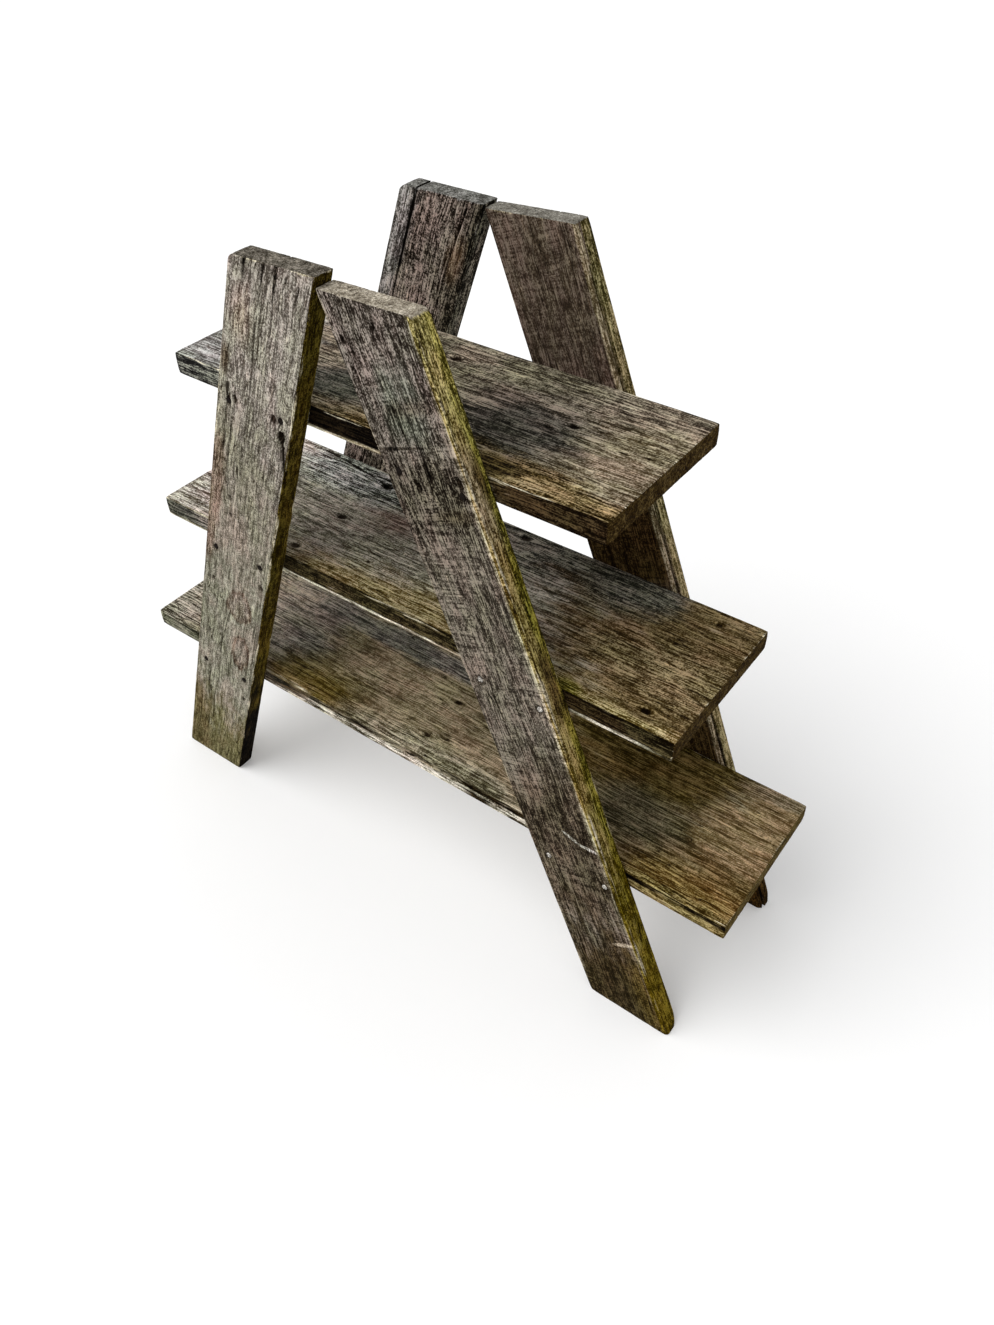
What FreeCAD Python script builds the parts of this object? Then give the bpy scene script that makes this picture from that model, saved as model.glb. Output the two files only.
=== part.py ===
import FreeCAD, Part
import math
import os

# A three-tier plant stand: two A-frames of leaning legs, with three shelf boards nailed between them.
# The origin is on the floor under the middle of the stand. X runs along the shelves, Y from front to back.
Vector = FreeCAD.Vector

# Sawn boards
leg_width = 100.0
leg_thickness = 25.0
shelf_depth = 200.0
shelf_thickness = 25.0
worn_arris = 2.0             # radius along the long edges of every board

# Stance of the two frames, seen from the front
front_frame_height = 806.0   # floor to the point where the two front legs meet
back_frame_height = 808.0
left_foot_reach = 401.0      # from the meeting point out to the tip of a left foot
right_foot_reach = 431.0
meeting_offset = -18.0       # front meeting point, from the middle of the shelves
back_frame_shift = 11.0      # the back frame stands this far to the right of the front one

# Leg ends, sawn by eye
front_left_rise = 10.0       # a left leg runs on past the meeting point by its rise
back_left_rise = 3.0
front_left_slope = 1.6       # degrees by which a top cut climbs to the right
front_right_slope = 1.3
back_left_slope = 0.0
back_right_slope = 3.7
worn_corner = 8.0            # radius of the left legs' outer top corners
worn_heel = 8.0              # radius under the back of the front right foot

# Shelves
bottom_shelf_height = 228.0  # floor to the top face
middle_shelf_height = 450.5
top_shelf_height = 666.0
bottom_shelf_length = 885.0
middle_shelf_length = 712.0
top_shelf_length = 538.0

# Floorboard groove left in the bottom shelf's front edge and the back right leg's outer edge
groove_height = 6.0
groove_depth = 5.0
groove_lip = 4.0             # wood between the groove and the shelf's top or the leg's inner face
shelf_groove_margin = 6.0    # the shelf's groove stops this far from both ends
leg_groove_margin = 40.0     # the leg's groove stops this far below the top

# Split that opens from the top end of the back left leg
split_length = 140.0
split_width = 2.5
split_inset = 21.0           # from the leg's outer edge

# Wire nails
nail_length = 65.0
nail_diameter = 2.8
nail_head_diameter = 6.5
nail_head_thickness = 1.3
nail_head_bevel = 0.4
nail_point_length = 5.0
nail_sink = 0.8              # the head's face lies this far below the leg's face
nail_inset = 16.0            # from a leg's long edge to the nail's centre
nail_clearance = 0.05        # room between a nail and its hole

# Front and back legs lie against the two long edges of the shelves
FRONT, BACK = -1, 1
LEFT, RIGHT = -1, 1
leg_inner_y = shelf_depth / 2
leg_outer_y = leg_inner_y + leg_thickness
same_place = 1e-6


def slab(outline, near_y, thickness):
    """A prism whose outline lies in the XZ plane, from near_y towards the back."""
    solid = Part.Face(Part.makePolygon(outline + outline[:1])).extrude(Vector(0, thickness, 0))
    solid.translate(Vector(0, near_y, 0))
    return solid


# Choosing the edges that have worn round
def edge_ends(edge):
    return edge.Vertexes[0].Point, edge.Vertexes[-1].Point


def runs_along(edge, direction):
    start, end = edge_ends(edge)
    return (end - start).normalize().cross(direction).Length < same_place


def crosses_at(edge, corner):
    """True for the edge through a board's thickness at a corner of its outline."""
    return all(math.hypot(end.x - corner.x, end.z - corner.z) < same_place for end in edge_ends(edge))


def bounds_sole(edge, face_y):
    """True for the edge where the sole meets the face that lies at face_y."""
    return all(math.hypot(end.y - face_y, end.z) < same_place for end in edge_ends(edge))


def rounded(solid, radius, is_worn):
    return solid.makeFillet(radius, [edge for edge in solid.Edges if is_worn(edge)])


class Leg:
    """A leaning board whose inner edge passes through the point where its frame's two legs meet."""

    def __init__(self, face, side, slope, rise=0.0):
        self.face = face
        self.side = side
        self.rise = rise
        self.slope = math.tan(math.radians(slope))
        self.near_y = leg_inner_y if face == BACK else -leg_outer_y
        self.meeting_x = meeting_offset + (back_frame_shift if face == BACK else 0.0)
        self.meeting_z = back_frame_height if face == BACK else front_frame_height
        self.reach = left_foot_reach if side == LEFT else right_foot_reach
        diagonal = math.hypot(self.reach, self.meeting_z)
        self.lean = math.acos(leg_width / diagonal) - math.atan2(self.meeting_z, self.reach)
        self.grain = Vector(-side * math.sin(self.lean), 0, math.cos(self.lean))

    def at(self, inset, height):
        """The point that lies inset from the leg's outer edge, at a height above the floor."""
        inwards = inset / math.cos(self.lean) + height * math.tan(self.lean)
        return Vector(self.meeting_x + self.side * (self.reach - inwards), 0, height)

    def top(self, inset):
        """The point of the top cut that lies inset from the leg's outer edge."""
        run = self.at(inset, 0).x - self.meeting_x
        climb = self.meeting_z + self.rise + self.slope * run
        return self.at(inset, climb / (1 + self.slope * self.side * math.tan(self.lean)))

    def board(self):
        """The board with its sawn ends and worn edges, before it is nailed."""
        outline = [self.at(0, 0), self.at(leg_width, 0), self.top(leg_width), self.top(0)]
        solid = slab(outline, self.near_y, leg_thickness)
        if self.side == LEFT:
            solid = rounded(solid, worn_corner, lambda edge: crosses_at(edge, self.top(0)))
        if (self.face, self.side) == (FRONT, RIGHT):
            solid = rounded(solid, worn_heel, lambda edge: bounds_sole(edge, -leg_inner_y))
        return rounded(solid, worn_arris, lambda edge: runs_along(edge, self.grain))

    def split(self):
        """A wedge that runs with the grain from the top end, right through the board."""
        left = self.top(split_inset - split_width / 2)
        right = self.top(split_inset + split_width / 2)
        bottom = self.top(split_inset) - self.grain * split_length
        outline = [left, bottom, right, right + self.grain * split_width, left + self.grain * split_width]
        return slab(outline, self.near_y, leg_thickness)

    def groove(self):
        """The old groove in the outer edge, from the foot up to a little below the top."""
        start = self.at(groove_depth, -groove_depth)
        end = self.top(groove_depth) - self.grain * leg_groove_margin
        outwards = self.at(-worn_arris, 0) - self.at(groove_depth, 0)
        return slab([start, end, end + outwards, start + outwards], self.near_y + groove_lip, groove_height)

    def nail_places(self, shelf_height):
        """The two nails through this leg, half-way down a shelf's edge."""
        height = shelf_height - shelf_thickness / 2
        return [self.at(inset, height) for inset in (nail_inset, leg_width - nail_inset)]

    def drive(self, shape, place):
        """Set a nail or its hole into the leg's outer face, pointing inwards."""
        if self.face == BACK:
            shape.rotate(Vector(), Vector(0, 0, 1), 180)
        shape.translate(place + Vector(0, self.face * leg_outer_y, 0))
        return shape


# Nails and their holes, turned about the Y axis, with the leg's outer face at zero
head_seat = nail_sink + nail_head_thickness
point_start = nail_sink + nail_length - nail_point_length


def turned(outline):
    points = [Vector(radius, depth, 0) for radius, depth in outline]
    return Part.Face(Part.makePolygon(points + points[:1])).revolve(Vector(), Vector(0, 1, 0), 360)


def shank(clearance):
    """The outline from under the head to the point, grown evenly by a clearance."""
    radius = nail_diameter / 2
    point_end = point_start + nail_point_length * (1 + clearance / radius)
    return [(radius + clearance, head_seat), (radius + clearance, point_start), (0, point_end)]


def nail():
    radius = nail_head_diameter / 2
    bevel_end = nail_sink + nail_head_bevel
    head = [(0, nail_sink), (radius - nail_head_bevel, nail_sink), (radius, bevel_end), (radius, head_seat)]
    return turned(head + shank(0))


def nail_hole():
    radius = nail_head_diameter / 2 + nail_clearance
    mouth = -nail_sink
    return turned([(0, mouth), (radius, mouth), (radius, head_seat)] + shank(nail_clearance))


# Shelves
def shelf_board(length, height):
    corner = Vector(-length / 2, -shelf_depth / 2, height - shelf_thickness)
    board = Part.makeBox(length, shelf_depth, shelf_thickness, corner)
    return rounded(board, worn_arris, lambda edge: runs_along(edge, Vector(1, 0, 0)))


def shelf_groove():
    """The old groove in the bottom shelf's front edge."""
    length = bottom_shelf_length - 2 * shelf_groove_margin
    floor = bottom_shelf_height - groove_lip - groove_height
    corner = Vector(-length / 2, -shelf_depth / 2 - worn_arris, floor)
    return Part.makeBox(length, worn_arris + groove_depth, groove_height, corner)


# Putting the stand together
legs = {
    "front_left_leg": Leg(FRONT, LEFT, front_left_slope, front_left_rise),
    "front_right_leg": Leg(FRONT, RIGHT, front_right_slope),
    "back_left_leg": Leg(BACK, LEFT, back_left_slope, back_left_rise),
    "back_right_leg": Leg(BACK, RIGHT, back_right_slope),
}
shelf_heights = {
    "top_shelf": top_shelf_height,
    "middle_shelf": middle_shelf_height,
    "bottom_shelf": bottom_shelf_height,
}
nodes = {name: leg.board() for name, leg in legs.items()}
nodes["back_left_leg"] = nodes["back_left_leg"].cut(legs["back_left_leg"].split())
nodes["back_right_leg"] = nodes["back_right_leg"].cut(legs["back_right_leg"].groove())
nodes["top_shelf"] = shelf_board(top_shelf_length, top_shelf_height)
nodes["middle_shelf"] = shelf_board(middle_shelf_length, middle_shelf_height)
nodes["bottom_shelf"] = shelf_board(bottom_shelf_length, bottom_shelf_height).cut(shelf_groove())

for leg_name, leg in legs.items():
    for shelf_name, shelf_height in shelf_heights.items():
        places = leg.nail_places(shelf_height)
        holes = [leg.drive(nail_hole(), place) for place in places]
        nodes[leg_name] = nodes[leg_name].cut(holes)
        nodes[shelf_name] = nodes[shelf_name].cut(holes)
        pair = [leg.drive(nail(), place) for place in places]
        nodes["nails_" + leg_name + "_" + shelf_name] = Part.makeCompound(pair)

os.makedirs("parts", exist_ok=True)
for node_name, shape in nodes.items():
    shape.exportStep("parts/" + node_name + ".step")
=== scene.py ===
import bpy
import math
import numpy as np
from mathutils import Matrix, Vector


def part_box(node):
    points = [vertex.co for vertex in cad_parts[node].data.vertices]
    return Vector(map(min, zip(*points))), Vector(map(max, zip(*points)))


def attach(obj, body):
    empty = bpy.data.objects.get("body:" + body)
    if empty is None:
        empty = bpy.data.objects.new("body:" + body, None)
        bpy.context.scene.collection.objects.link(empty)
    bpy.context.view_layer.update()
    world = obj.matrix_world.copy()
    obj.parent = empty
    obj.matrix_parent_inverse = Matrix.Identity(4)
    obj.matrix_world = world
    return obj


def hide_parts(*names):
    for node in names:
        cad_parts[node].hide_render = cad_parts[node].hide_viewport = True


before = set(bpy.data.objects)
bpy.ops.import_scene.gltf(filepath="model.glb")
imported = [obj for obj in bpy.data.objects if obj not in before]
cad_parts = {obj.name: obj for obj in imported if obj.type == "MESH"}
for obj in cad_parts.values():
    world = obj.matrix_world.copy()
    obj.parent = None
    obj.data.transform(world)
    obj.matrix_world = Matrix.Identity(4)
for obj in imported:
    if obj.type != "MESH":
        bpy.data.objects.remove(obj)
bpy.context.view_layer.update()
bpy.ops.object.select_all(action="DESELECT")

# Front left leg: a rough-sawn softwood board, weathered to a pale silver brown, that leans in to the top.
# It is the tallest leg, its outer top corner has worn round, and its foot and inner edge have gone green.
# It is sawn as a block with its arrises knocked off, and years outdoors are then worn into it.
MM = 0.001
leg_width = 100 * MM
leg_thickness = 25 * MM
knocked_off = 1.3 * MM
LEFT, RIGHT = -1, 1
FRONT, BACK = -1, 1


def points_of(piece):
    """The places of a mesh's points, one row each."""
    places = np.empty(len(piece.data.vertices) * 3)
    piece.data.vertices.foreach_get("co", places)
    return places.reshape(-1, 3)


def move_points(piece, places):
    piece.data.vertices.foreach_set("co", places.ravel())
    piece.data.update()


def edit(piece, part, chosen):
    """Opens a piece in edit mode with only the chosen vertices, edges or polygons selected."""
    bpy.ops.object.select_all(action="DESELECT")
    piece.select_set(True)
    bpy.context.view_layer.objects.active = piece
    parts = ("vertices", "edges", "polygons")
    for kind in parts:
        items = getattr(piece.data, kind)
        items.foreach_set("select", chosen if kind == part else np.zeros(len(items), bool))
    bpy.context.tool_settings.mesh_select_mode = [kind == part for kind in parts]
    bpy.ops.object.mode_set(mode="EDIT")


def close(piece):
    bpy.ops.object.mode_set(mode="OBJECT")
    piece.select_set(False)


def saw_block(name, low, high):
    """A squared block of wood, added at its size and place."""
    bpy.ops.object.select_all(action="DESELECT")
    bpy.ops.mesh.primitive_cube_add(size=1, location=(low + high) / 2, scale=high - low)
    bpy.ops.object.transform_apply(location=True, rotation=True, scale=True)
    block = bpy.context.object
    block.name = name
    block.data.name = name
    return block


def knock_off_arrises(piece):
    edit(piece, "vertices", np.ones(len(piece.data.vertices), bool))
    bpy.ops.mesh.bevel(offset=knocked_off, segments=3, affect="EDGES")
    close(piece)


def cut_finer(piece, direction, spacing):
    """Cuts the long edges that run in a direction until they are about one spacing long."""
    direction = np.array(direction)
    nearly_parallel = 0.96
    too_long = 1.6 * spacing
    most_cuts = 20
    while True:
        ends = np.empty(len(piece.data.edges) * 2, int)
        piece.data.edges.foreach_get("vertices", ends)
        places = points_of(piece)
        runs = places[ends[1::2]] - places[ends[0::2]]
        length = np.linalg.norm(runs, axis=1)
        long_ones = (abs(runs @ direction) > nearly_parallel * length) & (length > too_long)
        if not long_ones.any():
            return
        stretches = length[long_ones].max() / spacing
        if stretches > most_cuts:
            stretches = math.sqrt(stretches)
        edit(piece, "edges", long_ones)
        bpy.ops.mesh.subdivide(number_cuts=max(1, round(stretches) - 1))
        close(piece)


class Board:
    """A board's mesh, with the directions along, across and through its wood."""

    def __init__(self, piece, middle, axes, half_width, half_thickness, ends, end_axis):
        self.piece = piece
        self.middle = np.array(middle)
        self.axes = np.array(axes)
        self.half_width = half_width
        self.half_thickness = half_thickness
        self.ends = ends
        self.end_axis = np.array(end_axis)

    def in_wood(self, places):
        """Places as distances along, across and through the wood from the board's middle."""
        return (np.asarray(places) - self.middle) @ self.axes.T

    def season(self, knots=()):
        """Remembers the sawn surface, and bends the grain round the knots: (along, across, radius) in mm."""
        self.sawn = points_of(self.piece)
        self.normals = np.empty(self.sawn.size)
        self.piece.data.vertex_normals.foreach_get("vector", self.normals)
        self.normals = self.normals.reshape(-1, 3)
        self.wood = self.in_wood(self.sawn)
        grain = self.wood.copy()
        for along, across, radius in knots:
            beside = grain[:, 1] - across * MM
            near = ((grain[:, 0] - along * MM) / 4) ** 2 + (beside / 2) ** 2
            grain[:, 1] -= 0.85 * beside * np.exp(-near / (radius * MM) ** 2)
        self.keep("grain", grain)
        self.keep("end_grain", np.abs(self.normals @ self.end_axis))
        self.keep("broad_face", np.abs(self.normals @ self.axes[2]))
        self.find_arrises()

    def find_arrises(self):
        """Finds how near each point is to an arris and a corner, and which way is out of a worn board."""
        knock_reach = 7 * MM
        start, stop = self.ends(self.sawn)
        across, through = self.wood[:, 1], self.wood[:, 2]
        inside = np.column_stack([
            self.half_width - np.abs(across),
            self.half_thickness - np.abs(through),
            np.minimum(start, stop),
        ])
        sides = np.column_stack([np.sign(across), np.sign(through), np.where(stop < start, 1, -1)])
        near = np.clip(1 - inside / knock_reach, 0, 1)
        self.corner, self.arris = np.sort(near, axis=1)[:, :2].T
        self.keep("arris", self.arris)
        outward = (near * sides) @ np.array([self.axes[1], self.axes[2], self.end_axis])
        outward /= np.maximum(np.linalg.norm(outward, axis=1), 1e-9)[:, None]
        on_skin = np.einsum("ij,ij->i", outward, self.normals) > 0.6
        self.outward = np.where(on_skin[:, None], outward, self.normals)

    def keep(self, name, values):
        """Stores one number or one vector for each point, for the material to read."""
        kind, field = ("FLOAT", "value") if values.ndim == 1 else ("FLOAT_VECTOR", "vector")
        attribute = self.piece.data.attributes.new(name, kind, "POINT")
        attribute.data.foreach_set(field, np.ascontiguousarray(values, np.float32).ravel())

    def sink(self, depth):
        """Lowers each point below the face that it lies on."""
        move_points(self.piece, points_of(self.piece) - self.normals * depth[:, None])

    def wear(self, seed, reach, depth, layers, arris_only=False):
        """Wears a noise of a reach along, across and through the grain into the board, inwards only."""
        texture = bpy.data.textures.new("wear", "CLOUDS")
        texture.noise_scale = 1
        texture.noise_depth = layers
        texture.noise_basis = "IMPROVED_PERLIN"
        bpy.ops.object.empty_add()
        grain_frame = bpy.context.object
        turn = Matrix(self.axes.T.tolist()).to_4x4()
        start = Matrix.Translation(self.middle + self.axes.T @ (seed * np.array(reach)))
        grain_frame.matrix_world = start @ turn @ Matrix.Diagonal((*reach, 1))
        modifier = self.piece.modifiers.new("wear", "DISPLACE")
        modifier.texture = texture
        modifier.texture_coords = "OBJECT"
        modifier.texture_coords_object = grain_frame
        modifier.mid_level = 1
        modifier.strength = depth
        if arris_only:
            group = self.piece.vertex_groups.new(name="arris")
            steps = np.round(self.arris * 10).astype(int)
            for step in range(1, 11):
                group.add(np.flatnonzero(steps == step).tolist(), step / 10, "REPLACE")
            modifier.vertex_group = "arris"
        bpy.ops.object.select_all(action="DESELECT")
        bpy.context.view_layer.objects.active = self.piece
        bpy.context.view_layer.update()
        bpy.ops.object.modifier_apply(modifier=modifier.name)
        if arris_only:
            self.piece.vertex_groups.clear()
        bpy.data.objects.remove(grain_frame)
        bpy.data.textures.remove(texture)

    def finish_wear(self):
        """Turns all wear towards the board's core, and keeps how deep it is, in millimetres."""
        worn = np.einsum("ij,ij->i", self.sawn - points_of(self.piece), self.normals).clip(0)
        left = self.sawn - self.outward * worn[:, None]
        move_points(self.piece, left.clip(self.sawn.min(axis=0), self.sawn.max(axis=0)))
        self.keep("worn_depth", worn / MM)
        self.piece.data.shade_smooth()


def cut_away(piece, cutter):
    """Takes a cutter's shape out of a board."""
    modifier = piece.modifiers.new("cut", "BOOLEAN")
    modifier.object = cutter
    modifier.operation = "DIFFERENCE"
    modifier.solver = "EXACT"
    bpy.context.view_layer.objects.active = piece
    bpy.ops.object.modifier_apply(modifier=modifier.name)
    bpy.data.objects.remove(cutter)


def wear_round(piece, corner, first, second, radius):
    """Rounds a corner between two faces, given the directions in which they run away from it.
    The faces that end in the corner are drawn in evenly, so that nothing folds."""
    first, second = Vector(first).normalized(), Vector(second).normalized()
    centre = Vector(corner) + (first + second).normalized() * radius / math.sin(first.angle(second) / 2)
    level = first.cross(second).normalized()
    places = points_of(piece)
    facing = np.empty(places.size)
    piece.data.vertex_normals.foreach_get("vector", facing)
    ends_here = np.abs(facing.reshape(-1, 3) @ np.array(level)) > 0.7
    out = places - np.array(centre)
    out -= np.outer(out @ np.array(level), level)
    far = np.linalg.norm(out, axis=1)
    square = np.maximum(out @ np.array(first.cross(level)), out @ np.array(level.cross(second)))
    rounded = np.where(ends_here, square, np.minimum(far, radius))
    inside = (out @ np.array(first) < 0) & (out @ np.array(second) < 0)
    places[inside] += out[inside] * (rounded[inside] / far[inside] - 1)[:, None]
    move_points(piece, places)


def saw_leg(name, cad_node, side, top_inner_drop=0.0, top_outer_drop=0.0):
    """A leaning leg that fills its node's box, at the lean where a board of this width does so.
    Gives the board and the outer corner of its top."""
    low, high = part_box(cad_node)
    foot_x, meeting_x = (low.x, high.x) if side == LEFT else (high.x, low.x)
    reach = abs(foot_x - meeting_x)
    inner_z = high.z - top_inner_drop
    outer_z = high.z - top_outer_drop
    rise = inner_z - low.z
    lean = math.acos(leg_width / math.hypot(reach, rise)) - math.atan2(rise, reach)
    inner_foot_x = foot_x - side * leg_width / math.cos(lean)
    outer_x = foot_x - side * math.tan(lean) * (outer_z - low.z)
    moves = [
        (foot_x, high.z, outer_x, outer_z),
        (meeting_x, low.z, inner_foot_x, low.z),
        (meeting_x, high.z, meeting_x, inner_z),
    ]
    piece = saw_block(name, low, high)
    block = points_of(piece)
    for block_x, block_z, x, z in moves:
        edit(piece, "vertices", np.hypot(block[:, 0] - block_x, block[:, 2] - block_z) < knocked_off)
        bpy.ops.transform.translate(value=(x - block_x, 0, z - block_z))
        close(piece)
    knock_off_arrises(piece)

    along = (-side * math.sin(lean), 0, math.cos(lean))
    across = (math.cos(lean), 0, side * math.sin(lean))
    cut_finer(piece, along, 3 * MM)
    cut_finer(piece, (1, 0, 0), 0.9 * MM)
    cut_finer(piece, (0, 1, 0), 0.9 * MM)

    def ends(places):
        """How far places are above the sole, and below the top cut."""
        top = outer_z + (inner_z - outer_z) * (places[:, 0] - outer_x) / (meeting_x - outer_x)
        return places[:, 2] - low.z, top - places[:, 2]

    foot_middle = ((foot_x + inner_foot_x) / 2, (low.y + high.y) / 2, low.z)
    axes = (along, across, (0, 1, 0))
    board = Board(piece, foot_middle, axes, leg_width / 2, leg_thickness / 2, ends, (0, 0, 1))
    return board, Vector((outer_x, foot_middle[1], outer_z))


def on_face(board, face):
    """Which points lie on one face, or in the wood just below it."""
    skin = 4 * MM
    return board.wood[:, 2] * face > board.half_thickness - skin


def crack(board, face, line, width, deepest):
    """Opens a crack in one face along a line of (along, across) places in mm, closing towards its end."""
    line = np.array(line) * MM
    depth = np.zeros(len(board.wood))
    for step, (start, end) in enumerate(zip(line, line[1:])):
        run = end - start
        share = np.clip((board.wood[:, :2] - start) @ run / (run @ run), 0, 1)
        away = np.linalg.norm(board.wood[:, :2] - start - share[:, None] * run, axis=1)
        open_width = width * (1 - 0.7 * (step + share) / (len(line) - 1))
        depth = np.maximum(depth, deepest * np.clip(1.4 - away / open_width, 0, 1))
    board.sink(depth * on_face(board, face))


def weather(board, seed):
    """Years outdoors: hollows, raised grain, knocked arrises, and checks that run with the grain."""
    board.wear(seed, (250 * MM, 60 * MM, 60 * MM), 0.35 * MM, layers=2)
    board.wear(seed + 3, (50 * MM, 2.6 * MM, 2.6 * MM), 0.45 * MM, layers=3)
    board.wear(seed + 9, (30 * MM, 8 * MM, 8 * MM), 0.6 * MM, layers=3, arris_only=True)
    board.sink(0.6 * MM * board.corner)
    check_count = 26
    chance = np.random.default_rng(seed)
    first, last = board.wood[:, 0].min() / MM, board.wood[:, 0].max() / MM
    half_width = board.half_width / MM
    for _ in range(check_count):
        start = chance.uniform(first, last)
        length = chance.uniform(30, 150) * chance.choice((-1, 1))
        across = chance.uniform(-0.95, 0.95) * half_width
        drift, sway = chance.normal(0, 1.2, 2)
        line = [(start, across), (start + length / 2, across + sway), (start + length, across + drift)]
        crack(board, chance.choice((FRONT, BACK)), line, 0.7 * MM, chance.uniform(0.8, 1.6) * MM)


def mark(board, face, marks):
    """Presses hollows into one face: (along, across, radius, depth) in mm, drawn out along the grain."""
    depth = np.zeros(len(board.wood))
    for along, across, radius, deepest in marks:
        offset = board.wood[:, :2] - np.array((along, across)) * MM
        near = np.hypot(offset[:, 0] / 1.5, offset[:, 1]) / (radius * MM)
        depth = np.maximum(depth, deepest * MM * np.clip((1.3 - near) / 0.5, 0, 1))
    board.sink(depth * on_face(board, face))


def nail_dents(board, leg):
    """The hollows round a leg's six nail heads, at the nails' own places."""
    dents = []
    half_head = 3.25 * MM
    dent_radius, dent_depth = 3.6, 1.7
    for shelf in ("top_shelf", "middle_shelf", "bottom_shelf"):
        low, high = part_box("nails_" + leg + "_" + shelf)
        for x in (low.x + half_head, high.x - half_head):
            along, across = board.in_wood((x, low.y, (low.z + high.z) / 2))[:2] / MM
            dents.append((along, across, dent_radius, dent_depth))
    return dents


def lit(red, green, blue):
    """A colour as it is seen on screen, from 0 to 255, as the light values that the shader mixes."""
    shares = [value / 255 for value in (red, green, blue)]
    return (*[s / 12.92 if s < 0.04045 else ((s + 0.055) / 1.055) ** 2.4 for s in shares], 1)


def new_material(name):
    """A material, with its tree of nodes and its shader."""
    material = bpy.data.materials.new(name)
    material.use_nodes = True
    return material, material.node_tree, material.node_tree.nodes["Principled BSDF"]


def feed(tree, made, feeds):
    """Feeds a node's inputs with values or with other nodes."""
    for socket, value in feeds.items():
        if isinstance(value, bpy.types.Node):
            value = value.outputs[0]
        if isinstance(value, bpy.types.NodeSocket):
            tree.links.new(value, made.inputs[socket])
        else:
            made.inputs[socket].default_value = value


def node(tree, kind, feeds=(), **settings):
    """Adds a shader node and feeds it."""
    made = tree.nodes.new("ShaderNode" + kind)
    for name, value in settings.items():
        setattr(made, name, value)
    feed(tree, made, dict(feeds))
    return made


def sums(tree, operation, *values):
    return node(tree, "Math", dict(enumerate(values)), operation=operation)


def swings(tree, middle, *noises):
    """Adds up noises about a middle value, each by its own amount."""
    total = sums(tree, "SUBTRACT", middle, sum(amount for _, amount in noises) / 2)
    for noise, amount in noises:
        total = sums(tree, "MULTIPLY_ADD", noise, amount, total)
    return total


def spread(tree, value, low, high, low_to=0.0, high_to=1.0, smooth=False):
    """Spreads a range of values over another range, and holds it there."""
    feeds = {"Value": value, "From Min": low, "From Max": high, "To Min": low_to, "To Max": high_to}
    return node(tree, "MapRange", feeds, interpolation_type="SMOOTHSTEP" if smooth else "LINEAR")


def over(tree, amount, under, on_top, kind="MIX"):
    """One colour laid over another."""
    feeds = {0: amount, 6: under, 7: on_top}
    return node(tree, "Mix", feeds, data_type="RGBA", blend_type=kind).outputs[2]


def streaks(tree, wood, seed, length, width, detail, rough=0.6):
    """A noise drawn out along the grain, with the length and width of its streaks in millimetres."""
    closeness = (1 / (length * MM), 1 / (width * MM), 1 / (width * MM))
    feeds = {0: wood, 1: closeness, 2: (seed, 2 * seed, 3 * seed)}
    drawn = node(tree, "VectorMath", feeds, operation="MULTIPLY_ADD")
    return node(tree, "TexNoise", {"Vector": drawn, "Scale": 1, "Detail": detail, "Roughness": rough})


def toned(tree, tone, tones):
    """The dark, middle and light tones of one kind of surface, picked by the grain."""
    dark, middle, light = [Vector(lit(*colour)) for colour in tones]
    ramp = node(tree, "ValToRGB", {0: tone})
    stops = ramp.color_ramp.elements
    stops[0].position, stops[0].color = 0.0, dark * 0.55
    stops[1].position, stops[1].color = 1.0, light * 1.6
    for place, colour in ((0.22, dark), (0.5, middle), (0.78, light)):
        stops.new(place).color = colour
    return ramp


def stain(tones, along=(-900, 1800), across=(-400, 400), through=(-60, 60), turn=0, blur=0.25):
    """A patch of other tones: the oval that it covers in the wood, in millimetres, its turn in degrees,
    and how soft its border is."""
    spans = np.array((along, across, through)) * MM
    return tones, spans.mean(axis=1), (spans[:, 1] - spans[:, 0]) / 2, math.radians(turn), blur


def face_stain(tones, along, across=(-400, 400), turn=0, blur=0.25):
    """A stain on a leg's front face alone."""
    return stain(tones, along, across, (-20, -6), turn, blur)


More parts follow.
